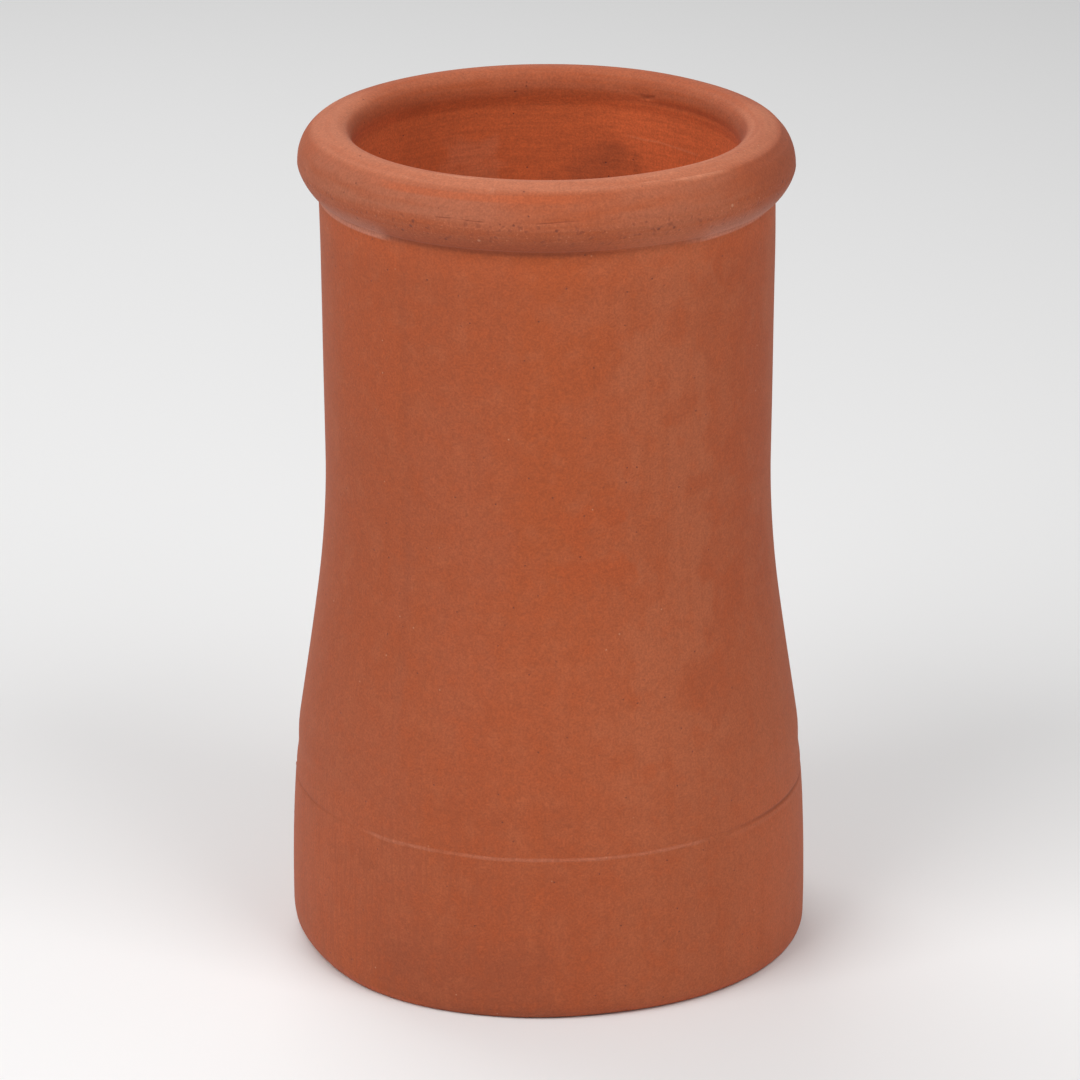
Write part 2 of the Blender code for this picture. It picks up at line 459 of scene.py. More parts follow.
# %% Marks on the lip
LIP_CREASE = 0.0005       # how much deeper the lip is cut under on its sharp stretch
LIP_SHARP = (42, 40)      # direction and half-width of that stretch
CREASE_DROP = 0.0040      # from the lip's innermost line down to the middle of the crease
CREASE_RISE = 0.0026      # half the height of the crease
TEAR = (57.4, 7.0, 0.0012)     # small tear in the lip: direction, half-width, depth
TEAR_DROP = 0.0006             # from the lip's innermost line down to the tear
TEAR_RISE = 0.0011             # half its height
TEAR_WANDER = (0.0013, 70, 5.7)  # how far it wanders up and down, swells in a turn, seed
TEAR_RAGS = (130, 6.6)           # swells in a turn, seed


def lip_crease(angle, height):
    """How strongly the lip is cut under at a point, from 0 to 1"""
    across = bump(height - LIP_HEIGHT + CREASE_DROP, CREASE_RISE)
    return across * bump(apart(angle, LIP_SHARP[0]), LIP_SHARP[1])


def lip_tear(angle, height):
    """How strongly the tear shows at a point, from 0 to 1"""
    wander = TEAR_WANDER[0] * around(angle, *TEAR_WANDER[1:])
    ragged = share(around(angle, *TEAR_RAGS) + 0.45, 0.0, 0.5)
    stretch = bump(apart(angle, TEAR[0]), TEAR[1])
    return ragged * stretch * bump(height - LIP_HEIGHT + TEAR_DROP - wander, TEAR_RISE)


print(f"The tear in the lip is {TEAR[2] * 1000:.1f} mm deep")

# %% [markdown]
# ## Pressing the marks into the mesh
# Every point knows its direction round the pot, its radius and its height, which is all
# that the marks need. The point then moves against its own normal by the sum of their
# depths. The foot's wear moves straight in towards the axis, because a rubbed edge loses
# clay from its side and keeps its flat seat. Each point also keeps two numbers for the
# finish: whether it is inside the pot, and how much painted shade its mark gets.

# %% Press the marks in
UNEVEN = 0.0003           # depth of the slow swells in hand-worked clay
UNEVEN_RATE = 15          # swells to the metre
FREE_SPREAD = 0.0003      # how far the barrel and the flare stand outside the plain solid
SEAT_FLAT = 0.0002        # points no higher than this stay on the floor
SHAPING_LINE = (-128.3, 2.2, 0.00022)   # faint upright line: direction, half-width, depth
INSIDE_DEPTH = (WALL * 0.6, WALL * 0.9)   # how far into the wall the inside starts and is full
INSIDE_TOP = (LIP_HEIGHT + 0.003, LIP_HEIGHT - 0.006)   # heights where it starts and is full
# How much painted shade each kind of mark gets, where it shows fully
GROOVE_SHADE_SHARE = {"drag": 0.6, "seam": 0.85, "line": 0.2, "tear": 0.75, "crease": 0.25}


def swell(place):
    """Slow unevenness, only inwards on the foot and the crest, which touch the solid's box"""
    free = share(place.z, SEAM_HEIGHT, CONE_FOOT) * share(place.z, ROLL_MIDDLE, ROLL_FOOT)
    depth = UNEVEN * noise.noise(place * UNEVEN_RATE) - FREE_SPREAD * free
    return depth if free else max(depth + UNEVEN / 4, 0.0)


def shaping_line(angle, height):
    """How strongly the faint upright line shows at a point, from 0 to 1"""
    across = bump(apart(angle, SHAPING_LINE[0]), SHAPING_LINE[1])
    return across * share(height, CONE_FOOT, CONE_TOP)


def marks_at(place, angle, outer):
    """Depth of the marks at a point, in metres, and how much painted shade they get"""
    radius, height = place.xy.length, place.z
    if outer and height > ROLL_FOOT:
        drag = drag_line(angle, height)
        depth = DRAG_DEPTH * drag + turning(angle, radius, height)
        return depth, drag * GROOVE_SHADE_SHARE["drag"]
    if outer:
        gap, line = seam_gap(angle, height), shaping_line(angle, height)
        depth = SEAM_GROOVE * gap + SHAPING_LINE[2] * line - seam_burr(angle, height)
        return depth, max(gap * GROOVE_SHADE_SHARE["seam"], line * GROOVE_SHADE_SHARE["line"])
    crease, tear = lip_crease(angle, height), lip_tear(angle, height)
    depth = LIP_CREASE * crease + TEAR[2] * tear
    return depth, max(tear * GROOVE_SHADE_SHARE["tear"], crease * GROOVE_SHADE_SHARE["crease"])


def inside_at(place):
    """1 on the bore, and 0 from the lip outwards"""
    deep = share(wall_at(place.z) - place.xy.length, *INSIDE_DEPTH)
    return deep * share(place.z, *INSIDE_TOP)


def press_marks(shape):
    """Move every point in by its depth, rub the foot's edge and label the points"""
    for name in ("inside", "groove_shade"):
        shape.verts.layers.float.new(name)
    inside_label, groove_shade_label = shape.verts.layers.float["inside"], shape.verts.layers.float["groove_shade"]
    moves = []
    for point in shape.verts:
        place = point.co
        angle = math.degrees(math.atan2(place.y, place.x))
        outer = place.xy.length > wall_at(place.z) - WALL / 2
        depth, groove_shade = marks_at(place, angle, outer)
        move = Vector((0, 0, 0))
        if place.z > SEAT_FLAT:
            move -= point.normal * (swell(place) + depth)
        if outer:
            move -= Vector((place.x, place.y, 0)).normalized() * foot_wear(angle, place.z)
        moves.append(move)
        point[inside_label], point[groove_shade_label] = inside_at(place), groove_shade
    for point, move in zip(shape.verts, moves):
        point.co += move


press_marks(clay_shape)
print("Marks pressed in")

# %% [markdown]
# ## A pot that dried a little out of true
# Soft clay settles while it dries. The roll of this pot sits slightly to one side of its
# foot, that side of it is lifted by a hair, and the other side has sunk.

# %% Let the roll settle
ROLL_SHIFT = 0.0006       # how far the roll has moved towards -X
BARREL_SHIFT = 0.0003     # how far the barrel leans the other way
ROLL_SAG = 0.0014         # how much lower the crest is on its +X side
SAG_POWER = 3             # how late the sag begins
SAG_FULL = 0.88           # where it is full, as a share of the widest radius
ROLL_LIFT = 0.0011        # how much higher the face and the underside are on the -X side
LIFT_SIDE = (0.45, 0.95)  # where the lift starts and is full, as the same share
LIFT_FOOT = (ROLL_FOOT - 0.012, ROLL_FOOT + 0.004)   # heights over which it comes in
LIFT_TOP = (HEIGHT - 0.001, ROLL_MIDDLE + 0.006)     # and, from the crest down, over which it fades
SETTLE_FADE = 0.03        # how far below the roll the shift and the sag fade out


def settle(shape):
    """Shift, sink and lift the roll, fading out in the barrel below it"""
    for point in shape.verts:
        height, across = point.co.z, point.co.x / WIDEST_RADIUS
        top = ease(share(height, ROLL_FOOT - SETTLE_FADE, ROLL_MIDDLE))
        lifted = share(height, *LIFT_FOOT) * share(height, *LIFT_TOP)
        point.co.z -= ROLL_SAG * top * share(across, 0.0, SAG_FULL) ** SAG_POWER
        point.co.z += ROLL_LIFT * lifted * share(-across, *LIFT_SIDE)
        point.co.x += BARREL_SHIFT * ease(share(height, CONE_TOP, FLARE_TOP)) - ROLL_SHIFT * top


settle(clay_shape)
print(f"The rim dips {ROLL_SAG * 1000:.1f} mm on one side")

# %% [markdown]
# ## From working mesh to object
# A bmesh is only a workbench, so it is written into a mesh. The two numbers that each
# point carries become attributes of the mesh, and the clay's nodes read them by name.

# %% Make the piece
def as_piece(shape, name):
    """Mesh object at the origin made from a bmesh, shaded smooth"""
    shape.normal_update()
    mesh = bpy.data.meshes.new(name)
    shape.to_mesh(mesh)
    shape.free()
    mesh.shade_smooth()
    piece = bpy.data.objects.new(name, mesh)
    bpy.context.scene.collection.objects.link(piece)
    return piece


pot = as_piece(clay_shape, "clay_pot")
carried = [label.name for label in pot.data.attributes]
print(f"{pot.name}: {len(pot.data.polygons)} faces, carrying {carried}")

# %% [markdown]
# ## Fired clay in nodes
# Red clay looks plain from afar, but its colour drifts: orange where the kiln was hot,
# duller and greyer where hands and water left fine slip. The nodes read Object coordinates,
# so the pattern sits still on the clay. A few small helpers keep the node code short.

# %% Helpers for nodes
clay = bpy.data.materials.new("fired_clay_surface")
clay.use_nodes = True
tree = clay.node_tree
shader = tree.nodes["Principled BSDF"]


def add(kind, inputs, output=0, **settings):
    """A node with its settings and inputs, which are numbers, colours or other outputs"""
    made = tree.nodes.new(kind)
    for name, value in settings.items():
        setattr(made, name, value)
    for name, value in inputs.items():
        if isinstance(value, bpy.types.NodeSocket):
            tree.links.new(value, made.inputs[name])
        else:
            made.inputs[name].default_value = value
    return made.outputs[output]


def times(first, second):
    """Two numbers multiplied"""
    return add("ShaderNodeMath", {0: first, 1: second}, operation="MULTIPLY")


def both(first, *others):
    """Masks multiplied, so that only the part that all of them cover is left"""
    for other in others:
        first = times(first, other)
    return first


def plus(first, second):
    """Two numbers added"""
    return add("ShaderNodeMath", {0: first, 1: second}, operation="ADD")


def vector_plus(first, second):
    """Two vectors added"""
    return add("ShaderNodeVectorMath", {0: first, 1: second}, operation="ADD")


def scaled(vector, factor):
    """A vector or a colour times one number"""
    return add("ShaderNodeVectorMath", {0: vector, "Scale": factor}, operation="SCALE")


def ramp(value, low, high, start=0.0, end=1.0):
    """start below low, end above high, and smooth between; low may be above high"""
    if low > high:
        low, high, start, end = high, low, end, start
    sizes = {"Value": value, "From Min": low, "From Max": high, "To Min": start, "To Max": end}
    return add("ShaderNodeMapRange", sizes, interpolation_type="SMOOTHSTEP")


def grain(place, rate, detail=2.0, roughness=0.5):
    """Noise between 0 and 1, rate swells to the metre"""
    return add("ShaderNodeTexNoise",
               {"Vector": place, "Scale": rate, "Detail": detail, "Roughness": roughness})


def varied(value, amount):
    """Noise turned into a factor near 1"""
    return ramp(value, 0.2, 0.8, 1 - amount, 1 + amount)


def tint(factor, first, second):
    """Colour mixed from two by a factor"""
    return add("ShaderNodeMix", {0: factor, 6: first, 7: second}, 2, data_type="RGBA")


print("Node helpers ready")

# %% [markdown]
# ## Places on the pot
# Three ways of reading a point are enough. Its place as it is gives sand, specks and
# mottling. Its direction round the pot with a squeezed height gives upright streaks, like
# those left by a mould or a wet hand. Its height and radius with a squeezed direction give
# rings, as on the wiped roll. A little noise added to the direction and to the height keeps
# the edges of patches loose.

# %% Places for the patterns
STREAK_SQUEEZE = 0.07     # share of the height that is kept in streaks
RING_SQUEEZE = 0.06       # share of the direction that is kept in rings
LOOSE_RATE = 42           # swells to the metre in the noise that loosens the edges
LOOSE_TURN = 0.20         # how far noise pushes a patch round the pot
LOOSE_RISE = 0.05         # and up, in metres

place = add("ShaderNodeTexCoord", {}, "Object")
place_x = add("ShaderNodeSeparateXYZ", {"Vector": place}, "X")
height = add("ShaderNodeSeparateXYZ", {"Vector": place}, "Z")
level = add("ShaderNodeVectorMath", {0: place, 1: (1, 1, 0)}, operation="MULTIPLY")
radius = add("ShaderNodeVectorMath", {0: level}, "Value", operation="LENGTH")
outward = add("ShaderNodeVectorMath", {0: level}, operation="NORMALIZE")

streak_rise = add("ShaderNodeCombineXYZ", {"Z": times(height, STREAK_SQUEEZE)})
streak_place = vector_plus(scaled(outward, BARREL_RADIUS), streak_rise)
ring_rise = add("ShaderNodeCombineXYZ", {"Z": plus(height, radius)})
ring_place = vector_plus(scaled(outward, BARREL_RADIUS * RING_SQUEEZE), ring_rise)

loose = add("ShaderNodeTexNoise", {"Vector": place, "Scale": LOOSE_RATE, "Detail": 2.0}, "Color")
loose = vector_plus(loose, (-0.5, -0.5, -0.5))
loose_up = add("ShaderNodeSeparateXYZ", {"Vector": loose}, "Z")
loose_outward = vector_plus(outward, scaled(loose, LOOSE_TURN))
loose_height = plus(height, times(loose_up, LOOSE_RISE))
inside = add("ShaderNodeAttribute", {}, "Fac", attribute_name="inside")
groove_shade = add("ShaderNodeAttribute", {}, "Fac", attribute_name="groove_shade")


def toward(angle, full, gone):
    """1 within full degrees of a direction round the pot, 0 beyond gone degrees"""
    way = (math.cos(math.radians(angle)), math.sin(math.radians(angle)), 0)
    facing = add("ShaderNodeVectorMath", {0: loose_outward, 1: way}, "Value",
                 operation="DOT_PRODUCT")
    return ramp(facing, math.cos(math.radians(gone)), math.cos(math.radians(full)))


def between(heights, level=loose_height):
    """1 between the middle two of four heights, 0 beyond the outer two"""
    return times(ramp(level, heights[0], heights[1]), ramp(level, heights[3], heights[2]))


print("Streaks, rings and patches have their places")

# %% [markdown]
# ## The clay's own colour
# The outside starts as one dull red with broad, browner streaks. Then come the patches that
# this pot has, such as an orange streak up the middle, a violet bruise at the foot and a pale
# streak right of its front, which is a painted reflection of a soft light. Narrow orange
# streaks and a soft mottling lie over them all.

# %% Colour of the outside
CLAY = (0.390, 0.0840, 0.0245, 1)
CLAY_ORANGE = (0.384, 0.0748, 0.0165, 1)
CLAY_DULL = (0.404, 0.0970, 0.0335, 1)
CLAY_BROWN = (0.370, 0.0745, 0.0200, 1)
CLAY_COOL = (0.378, 0.0855, 0.0300, 1)
CLAY_VIOLET = (0.325, 0.0700, 0.0225, 1)
CLAY_BRIGHT = (0.470, 0.0950, 0.0260, 1)
CLAY_HOT = (0.405, 0.0740, 0.0155, 1)
CLAY_DARK = (0.372, 0.0700, 0.0160, 1)

DRIFTS = [
    # direction, full and gone within, four heights, colour, strength
    # the first drift, a pale streak right of the front, is a painted reflection of a soft light
    (-60, 6, 15, (0.06, 0.14, 0.43, 0.47), CLAY_DULL, 1.0),
    (-89, 6, 16, (0.17, 0.25, 0.43, 0.47), CLAY_ORANGE, 1.0),
    (-75, 3, 10, (0.215, 0.245, 0.262, 0.285), CLAY_HOT, 0.9),
    (-27, 6, 15, (0.16, 0.22, 0.43, 0.47), CLAY_DARK, 1.0),
    (-119, 12, 26, (0.16, 0.26, 0.40, 0.46), CLAY_BROWN, 0.85),
    (-117, 6, 18, (0.11, 0.17, 0.30, 0.35), CLAY_COOL, 0.6),
    (-140, 10, 26, (0.02, 0.06, 0.13, 0.20), CLAY_COOL, 0.8),
    (-112, 12, 28, (-0.06, -0.05, 0.022, 0.060), CLAY_VIOLET, 0.95),
    (-42, 16, 44, (-0.06, -0.05, 0.11, 0.19), CLAY_DULL, 0.6),
    (-141, 1, 5, (0.060, 0.066, 0.073, 0.080), CLAY_VIOLET, 0.8),
    (-143, 8, 22, (0.29, 0.34, 0.41, 0.44), CLAY_HOT, 0.6),
    (-18, 12, 32, (-0.06, -0.05, 0.085, 0.14), CLAY_BRIGHT, 0.5),
    (-158, 10, 30, (-0.06, -0.05, 0.080, 0.13), CLAY_BRIGHT, 0.35),
]

broad = grain(streak_place, 24, 1, 0.55)
narrow = grain(streak_place, 120, 2, 0.6)
mottle = grain(place, 85, 2, 0.6)
colour = tint(ramp(broad, 0.36, 0.64), CLAY_BROWN, CLAY)
for way, full, gone, heights, paint, strength in DRIFTS:
    colour = tint(both(toward(way, full, gone), between(heights), strength), colour, paint)
colour = tint(times(ramp(narrow, 0.45, 0.75), 0.40), colour, CLAY_ORANGE)
colour = tint(times(ramp(mottle, 0.48, 0.72), 0.45), colour, CLAY_DULL)
colour = tint(times(ramp(mottle, 0.50, 0.28), 0.40), colour, CLAY_HOT)
print(f"{len(DRIFTS)} drifts of colour laid over the red")

# %% [markdown]
# ## The wiped roll
# A wet cloth carried fine slip round the roll, and it dried pale, most of all along the
# crest, where painted sheen adds to it. It lies in streaks on the face. The underside is
# darker in front as painted shade, and so is the roll's far right, and towards its two ends
# the underside has a cool grey cast: pale bloom with a painted reflection of the floor.

# %% Colour of the roll
BLOOM = (0.400, 0.118, 0.056, 1)         # thin pale slip
CREST_SLIP_AND_SHEEN = (0.465, 0.140, 0.064, 1)         # thicker slip on the crest, painted paler still as painted sheen
SCRAPE = (0.58, 0.215, 0.115, 1)         # where the crest was wiped against something
ROLL_PAINTED_SHADE = (0.336, 0.0685, 0.0205, 1)  # painted shade on the underside in front and on the roll's far right
ROLL_BLOOM_AND_REFLECTION = (0.400, 0.142, 0.087, 1)     # pale bloom and a painted reflection of the floor, at the two ends of the underside
COVE_PAINTED_REFLECTION = (0.520, 0.190, 0.118, 1)     # the same painted reflection, paler, down in the cove over its shadow
UNDER_ROLL_PAINTED_LIGHT = 1.13          # painted light: how much brighter the barrel is right under the roll
UNDERSIDE_PAINTED_LIGHT = 0.10          # painted light: how much brighter the underside is right of the front
FACE_HEIGHTS = (ROLL_MIDDLE - 0.003, ROLL_MIDDLE + 0.006, HEIGHT - 0.006, HEIGHT - 0.001)

wiped = grain(ring_place, 230, 2, 0.6)
on_roll = ramp(height, ROLL_FOOT + 0.0005, ROLL_FOOT + 0.003)
on_face = between(FACE_HEIGHTS, height)
under = ramp(height, ROLL_FOOT + 0.016, ROLL_FOOT + 0.006)
in_front = toward(-92, 22, 48)

ROLL_LAYERS = [
    # mask, colour; each lies over the one before it
    (times(on_roll, ramp(wiped, 0.35, 0.70, 0.05, 0.38)), BLOOM),
    (times(on_roll, ramp(wiped, 0.42, 0.25, 0.0, 0.60)), CLAY_ORANGE),
    (both(on_face, toward(-130, 16, 44), ramp(wiped, 0.30, 0.55, 0.45, 1.0)), BLOOM),
    (both(on_face, toward(-56, 8, 26), ramp(wiped, 0.30, 0.55, 0.15, 0.50)), BLOOM),
    # painted shade on the roll's far right, then on the underside in front
    (both(on_roll, toward(-14, 10, 28), 0.92), ROLL_PAINTED_SHADE),
    (both(on_roll, under, toward(-104, 16, 40)), ROLL_PAINTED_SHADE),
    # pale bloom with a painted reflection of the floor towards the underside's two ends
    (both(on_roll, under, ramp(in_front, 0.7, 0.0, 0.0, 0.85)), ROLL_BLOOM_AND_REFLECTION),
]
for mask, paint in ROLL_LAYERS:
    colour = tint(mask, colour, paint)
print(f"{len(ROLL_LAYERS)} layers of slip laid over the roll")

# %% [markdown]
# ## The cove and the crest
# Two narrow rings finish the roll. The cove under it is painted pale and cool at the two ends,
# a painted reflection of the floor laid over its shadow. The crest carries the thickest slip,
# painted paler still as painted sheen and darker on its far side as painted shade; it was
# scraped in two places, and just below it a stretch of bare clay shows brighter. The barrel
# right under the roll is painted brighter as painted light against the roll's shade, and so is
# the underside right of the front.

# %% Colour of the cove and the crest
COVE_HEIGHTS = (ROLL_FOOT + 0.0005, ROLL_FOOT + 0.0016, ROLL_FOOT + 0.004, ROLL_FOOT + 0.008)
UNDER_CREST_HEIGHTS = (HEIGHT - 0.0085, HEIGHT - 0.0070, HEIGHT - 0.0052, HEIGHT - 0.0040)

# painted reflection over the cove's shadow at its two ends
cove = both(between(COVE_HEIGHTS, height), ramp(in_front, 0.25, 0.0), 0.8)
colour = tint(cove, colour, COVE_PAINTED_REFLECTION)
under_crest = both(between(UNDER_CREST_HEIGHTS, height), toward(-106, 16, 34), 0.6)
colour = tint(under_crest, colour, CLAY_BRIGHT)
# the pale crest fades on the far side, which leaves it darker there as painted shade
crest = both(ramp(height, HEIGHT - 0.0048, HEIGHT - 0.0020), ramp(wiped, 0.20, 0.60, 0.55, 1.0),
             ramp(toward(85, 50, 82), 0.0, 1.0, 1.0, 0.1))
colour = tint(crest, colour, CREST_SLIP_AND_SHEEN)
scraped = plus(toward(-113, 4, 11), toward(-52, 7, 18))
scrapes = times(ramp(grain(ring_place, 520, 1), 0.56, 0.66), scraped)
colour = tint(both(crest, scrapes, 0.7), colour, SCRAPE)

# painted light on the barrel right under the roll, against the shade it casts
under_roll_painted_light = times(ramp(height, ROLL_FOOT - 0.020, ROLL_FOOT - 0.001, 1.0, UNDER_ROLL_PAINTED_LIGHT),
                  ramp(height, ROLL_FOOT + 0.004, ROLL_FOOT + 0.0005, 1 / UNDER_ROLL_PAINTED_LIGHT, 1.0))
# painted light on the roll's underside right of the front
underside_painted_light = both(on_roll, ramp(height, ROLL_MIDDLE, ROLL_FOOT + 0.004, 0.0, UNDERSIDE_PAINTED_LIGHT),
                 toward(-62, 8, 26))
colour = scaled(colour, times(under_roll_painted_light, plus(underside_painted_light, 1.0)))
print("Cove and crest coloured")

# %% [markdown]
# ## The seam and the foot's edge
# On the front, where the seam is closed, a pale line is painted along its fine ledge as a
# highlight, wobbling a little up and down. A faint pale band below its open part on the right
# is painted light on the groove's lower lip. Where the foot's edge is rubbed it is painted
# brighter, partly for the clay under the skin and partly as painted light on the rubbed slope.

# %% Colour of the seam and the edge
SEAM_PAINTED_HIGHLIGHT = (0.425, 0.117, 0.054, 1)
SEAM_WOBBLE = 0.0022      # how far noise pushes the pale line up and down, in metres
SEAM_LINE = (-0.0009, 0.0001, 0.0010, 0.0019)      # heights from the seam, fading in and out
SEAM_LIGHT_HEIGHTS = (-0.0040, -0.0022, -0.0012, -0.0004)  # band of painted light below its open stretch
EDGE = 0.0062             # height up to which the rounded edge is rubbed

seam_level = plus(plus(height, times(loose_up, SEAM_WOBBLE)), -SEAM_HEIGHT)
# painted highlight: the pale line along the seam's fine ledge on the front
seam_highlight = both(between(SEAM_LINE, seam_level), toward(-93, 36, 46),
              ramp(mottle, 0.30, 0.60, 0.55, 0.95))
colour = tint(seam_highlight, colour, SEAM_PAINTED_HIGHLIGHT)
# a faint band of painted light below the open seam on the right
seam_painted_light = both(between(SEAM_LIGHT_HEIGHTS, plus(height, -SEAM_HEIGHT)), toward(-22, 14, 28), 0.35)
colour = tint(seam_painted_light, colour, SEAM_PAINTED_HIGHLIGHT)
# the rubbed edge is painted brighter: partly the clay under the skin, partly painted light on its
# downturned slope
rubbed_and_lit = times(plus(toward(-40, 22, 40), toward(-146, 20, 36)), 0.75)
colour = tint(times(ramp(height, EDGE, EDGE * 0.35), rubbed_and_lit), colour, CLAY_BRIGHT)
print("Seam and rubbed edge coloured")

# %% [markdown]
# ## The bore
# The inside is painted a brighter, warmer red than the outside, as painted light for the light
# that falls into it and bounces round it, and brighter still on its right and left. Fine rings
# run round it. Low on its far side there are a painted shadow and, left of that, a paler patch,
# and something has scratched it there.

# %% Colour of the bore
# painted light: the bore's red is brighter and warmer than the outside's
BORE_WITH_PAINTED_LIGHT = (0.490, 0.0950, 0.0215, 1)
BORE_PAINTED_LIGHT_PATCH = (0.640, 0.1290, 0.0340, 1)
BORE_PAINTED_SHADOW = (0.392, 0.0780, 0.0200, 1)
BORE_PALE = (0.510, 0.122, 0.042, 1)
BORE_SCRATCH = (0.66, 0.175, 0.066, 1)
SCRATCH_SLOPE = 0.075     # how much the scratch drops for each metre along X
SCRATCH_HEIGHTS = (0.4178, 0.4185, 0.4189, 0.4196)   # of its line where X is 0
SCRATCH_ENDS = (0.040, 0.048, 0.076, 0.084)          # along X

# painted light on the bore's right and left walls
bore_colour = tint(toward(25, 30, 60), BORE_WITH_PAINTED_LIGHT, BORE_PAINTED_LIGHT_PATCH)
# a painted shadow low on the bore's far wall
bore_painted_shadow = times(toward(74, 5, 18), between((0.30, 0.33, 0.392, 0.412)))
bore_colour = tint(bore_painted_shadow, bore_colour, BORE_PAINTED_SHADOW)
bore_colour = tint(times(toward(176, 18, 44), 0.6), bore_colour, BORE_PAINTED_LIGHT_PATCH)
pale = times(toward(119, 7, 17), between((0.35, 0.38, 0.404, 0.418)))
bore_colour = tint(pale, bore_colour, BORE_PALE)
bore_colour = scaled(bore_colour, varied(grain(ring_place, 700, 1), 0.09))
scratch_level = plus(plus(height, times(place_x, SCRATCH_SLOPE)), times(loose_up, 0.004))
scratch = times(between(SCRATCH_HEIGHTS, scratch_level), between(SCRATCH_ENDS, place_x))
bore_colour = tint(times(scratch, 0.7), bore_colour, BORE_SCRATCH)
colour = tint(inside, colour, bore_colour)
print("Bore coloured")

# %% [markdown]
# ## Sand, specks and pits
# Close to, the clay is sandy. Every point gets a little lighter or darker, a few pale
# crumbs of fired grit show, and small pits are left where grit fell out, painted dark as the
# shade inside them. One pattern of cells places both: each cell draws a lot that says crumb,
# pit or nothing. On the roll's lower face the tool dragged the pits open, so they are larger
# there. Painted shade comes last, in the marks that were pressed into the mesh.

# %% Grain and spots
SPOT_RATE = 140           # cells to the metre
SPOT_SIZE = 0.090         # radius of a spot as a share of a cell
DRAGGED = 0.9             # how much larger spots are on the dragged band, as a share
DRAGGED_HEIGHTS = (ROLL_MIDDLE - 0.012, ROLL_MIDDLE - 0.008,
                   ROLL_MIDDLE + 0.001, ROLL_MIDDLE + 0.004)
GRIT = (0.60, 0.30, 0.17, 1)
PIT_PAINTED_SHADE = (0.19, 0.043, 0.020, 1)
GROOVE_PAINTED_SHADE = (0.215, 0.0500, 0.0210, 1)

sand = grain(place, 900, 1, 0.6)
coarse = grain(place, 330, 1, 0.5)
hairs = grain(streak_place, 560, 1, 0.6)
foot_left = times(ramp(height, 0.14, 0.07), toward(-132, 20, 52))

colour = scaled(colour, varied(sand, 0.14))
colour = scaled(colour, varied(coarse, 0.05))
hairs = times(ramp(hairs, 0.50, 0.66), plus(times(foot_left, 0.34), 0.10))
colour = tint(hairs, colour, CLAY_VIOLET)

cells = add("ShaderNodeTexVoronoi", {"Vector": place, "Scale": SPOT_RATE}, "Distance")
lot = add("ShaderNodeSeparateColor", {"Color": cells.node.outputs["Color"]}, "Red")
dragged = times(between(DRAGGED_HEIGHTS, height), ramp(inside, 0.2, 0.0))
size = times(plus(times(dragged, DRAGGED), 1.0), SPOT_SIZE)
spot = ramp(add("ShaderNodeMath", {0: cells, 1: size}, operation="DIVIDE"), 1.0, 0.4)
is_pit = ramp(lot, 0.24, 0.26)
is_grit = times(ramp(lot, 0.24, 0.22), ramp(lot, 0.10, 0.12))
fainter = ramp(lot, 0.72, 0.70, plus(times(dragged, 0.5), 0.45), 1.0)
pits = both(spot, is_pit, fainter)
grit = both(spot, is_grit, ramp(inside, 0.0, 1.0, 1.0, 0.3))
torn = times(dragged, ramp(coarse, 0.58, 0.72))
crumbs = times(dragged, ramp(sand, 0.66, 0.78))
# the torn spots and the pits are painted dark, as painted shade in them
colour = tint(times(torn, 0.45), colour, PIT_PAINTED_SHADE)
colour = tint(times(crumbs, 0.30), colour, GRIT)
colour = tint(times(grit, 0.50), colour, GRIT)
colour = tint(times(pits, 0.85), colour, PIT_PAINTED_SHADE)
# painted shade in the pressed marks: drag line, open seam, upright line, tear and crease
colour = tint(times(groove_shade, 0.75), colour, GROOVE_PAINTED_SHADE)
print("Sand, grit, pits and dust added")

# %% [markdown]
# ## The feel of the surface
# Unglazed clay is matt, so the shine is low and broad. A faint sheen stands for the fine
# dust that brightens its edges. Bump lifts the sand and sinks the pits, because they are
# finer than the mesh.

# %% Surface
ROUGHNESS = 0.85
SHEEN = 0.03
RELIEF = 0.0004           # metres between the lowest and the highest of the fine relief

relief = plus(times(sand, 0.30), times(coarse, 0.15))
relief = plus(relief, plus(times(grit, 0.15), times(pits, -0.6)))
relief = plus(relief, times(torn, -0.5))
normal = add("ShaderNodeBump", {"Height": relief, "Distance": RELIEF, "Strength": 1.0}, "Normal")

tree.links.new(colour, shader.inputs["Base Color"])
tree.links.new(normal, shader.inputs["Normal"])
shader.inputs["Roughness"].default_value = ROUGHNESS
shader.inputs["Metallic"].default_value = 0.0
shader.inputs["Sheen Weight"].default_value = SHEEN
shader.inputs["Sheen Roughness"].default_value = 0.5
print("Clay surface connected")

# %% [markdown]
# ## Giving the piece to the frame
# The dressed pot now takes the place of its plain solid. It rides on the same body.

# %% Dress the pot
pot.data.materials.append(clay)
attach(pot, "root")
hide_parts("chimney_pot")

# %% [markdown]
# ## The floor
# The pot was photographed on white. A pale floor that runs far back fills the whole picture,
# and the light that it throws up brightens the lower half of the pot.

# %% Floor
FLOOR_SIZE = 12           # metres
FLOOR_WHITE = (0.86, 0.86, 0.86, 1)
floor_shape = bmesh.new()
bmesh.ops.create_grid(floor_shape, x_segments=1, y_segments=1, size=FLOOR_SIZE / 2)
floor = as_piece(floor_shape, "floor")
floor_paint = bpy.data.materials.new("floor_paint")
floor_paint.use_nodes = True
floor_shader = floor_paint.node_tree.nodes["Principled BSDF"]
floor_shader.inputs["Base Color"].default_value = FLOOR_WHITE
floor_shader.inputs["Roughness"].default_value = 0.9
floor.data.materials.append(floor_paint)
print(f"Floor {FLOOR_SIZE} m square")

# %% [markdown]
# ## The lights
# Broad soft light falls from above on both sides of the camera, a little stronger from the
# left. A third light stands behind and brightens the crest and the back of the pot. Large
# lamps give soft shadows. An even white surround fills in what the lamps don't reach.

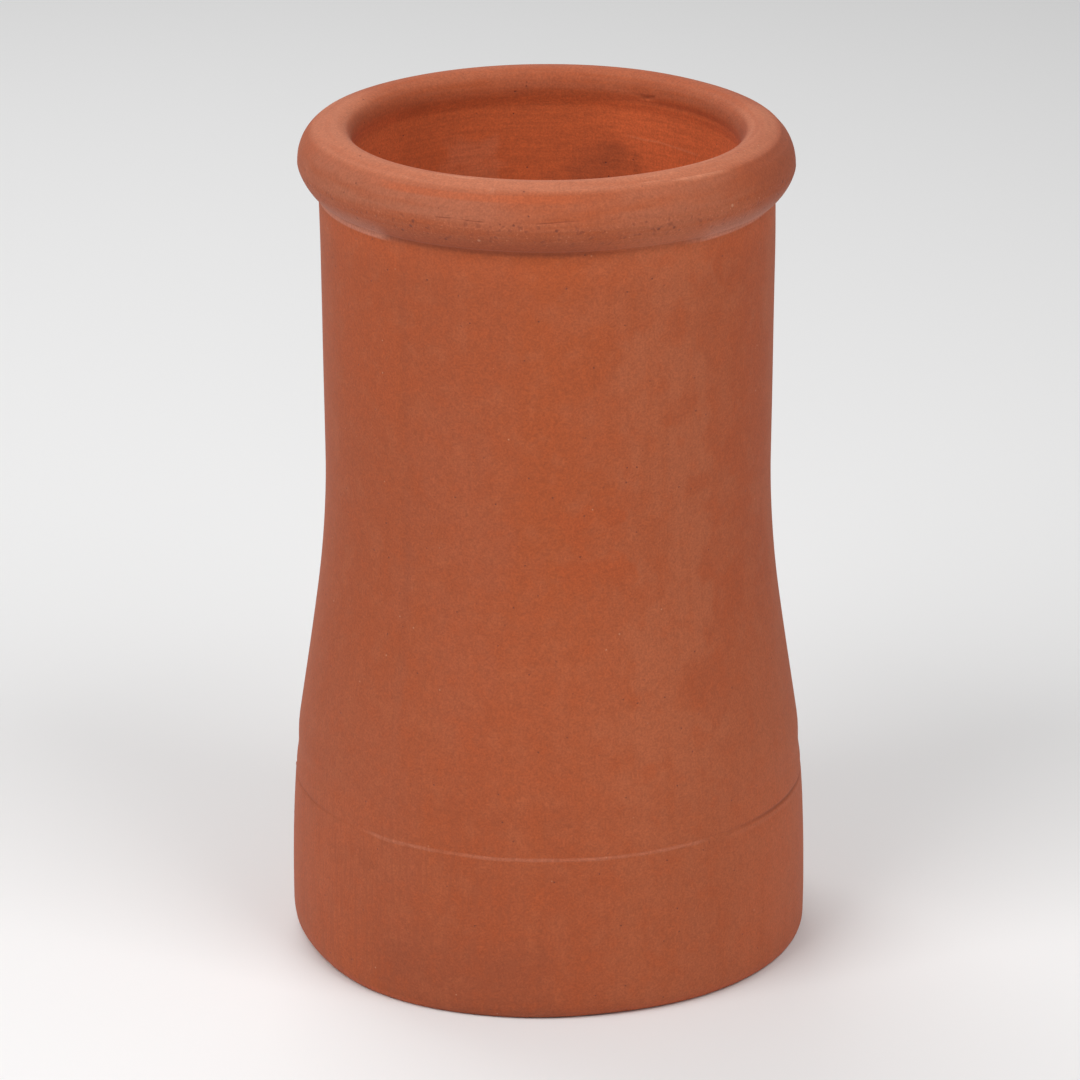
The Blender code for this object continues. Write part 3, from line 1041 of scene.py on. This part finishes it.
# %% Lights
MIDDLE = Vector((0, 0, HEIGHT / 2))
SOFT_LIGHTS = [
    # name, direction and height in degrees, distance, size, power
    ("front_left", -135, 45, 2.8, 1.6, 41.5),
    ("front_right", -45, 45, 2.8, 1.6, 33.0),
    ("behind", 112, 50, 2.8, 1.8, 29.5),
]
SURROUND = 0.25           # strength of the even light from all round


def soft_light(name, place, aim, size, power):
    """Square area light that looks from its place to its aim"""
    lamp = bpy.data.lights.new(name, "AREA")
    lamp.size = size
    lamp.energy = power
    holder = bpy.data.objects.new(name, lamp)
    holder.location = place
    holder.rotation_euler = (Vector(aim) - Vector(place)).to_track_quat("-Z", "Y").to_euler()
    bpy.context.scene.collection.objects.link(holder)


for name, direction, rise, distance, size, power in SOFT_LIGHTS:
    turn, tilt = math.radians(direction), math.radians(rise)
    way = Vector((math.cos(turn) * math.cos(tilt), math.sin(turn) * math.cos(tilt), math.sin(tilt)))
    soft_light(name, MIDDLE + way * distance, MIDDLE, size, power)

world = bpy.data.worlds.new("studio")
world.use_nodes = True
background = world.node_tree.nodes["Background"]
background.inputs["Color"].default_value = (1, 1, 1, 1)
background.inputs["Strength"].default_value = SURROUND
bpy.context.scene.world = world
bpy.context.scene.view_settings.view_transform = "Standard"
print(f"{len(SOFT_LIGHTS)} soft lights and an even surround")

# %% [markdown]
# ## The camera
# The place, the turn and the lens were worked out from the ellipses of the rim, the seam and
# the seat, as the photo shows them. A long lens from over three metres away keeps the sides
# of the barrel nearly parallel.

# %% Camera
CAMERA_PLACE = (0.0, -2.94384, 1.27072)
CAMERA_TURN = (70.3316, 0.1447, 0.0309)   # degrees: tilt up from straight down, roll, turn left
LENS = 195.34             # mm
SENSOR = 36               # mm

view = bpy.data.cameras.new("photo_view")
view.lens = LENS
view.sensor_width = SENSOR
camera = bpy.data.objects.new("photo_view", view)
camera.location = CAMERA_PLACE
camera.rotation_euler = [math.radians(turn) for turn in CAMERA_TURN]
bpy.context.scene.collection.objects.link(camera)
bpy.context.scene.camera = camera
print(f"Camera {Vector(CAMERA_PLACE).length:.2f} m away with a {LENS:.0f} mm lens")

# %% [markdown]
# ## The solid's size
# The fine pot has to stay inside the solid's box, so that box is printed.

# %% Write the sizes
print("Solid:", [round(v * 1000, 2) for v in (*cad_low, *cad_high)])
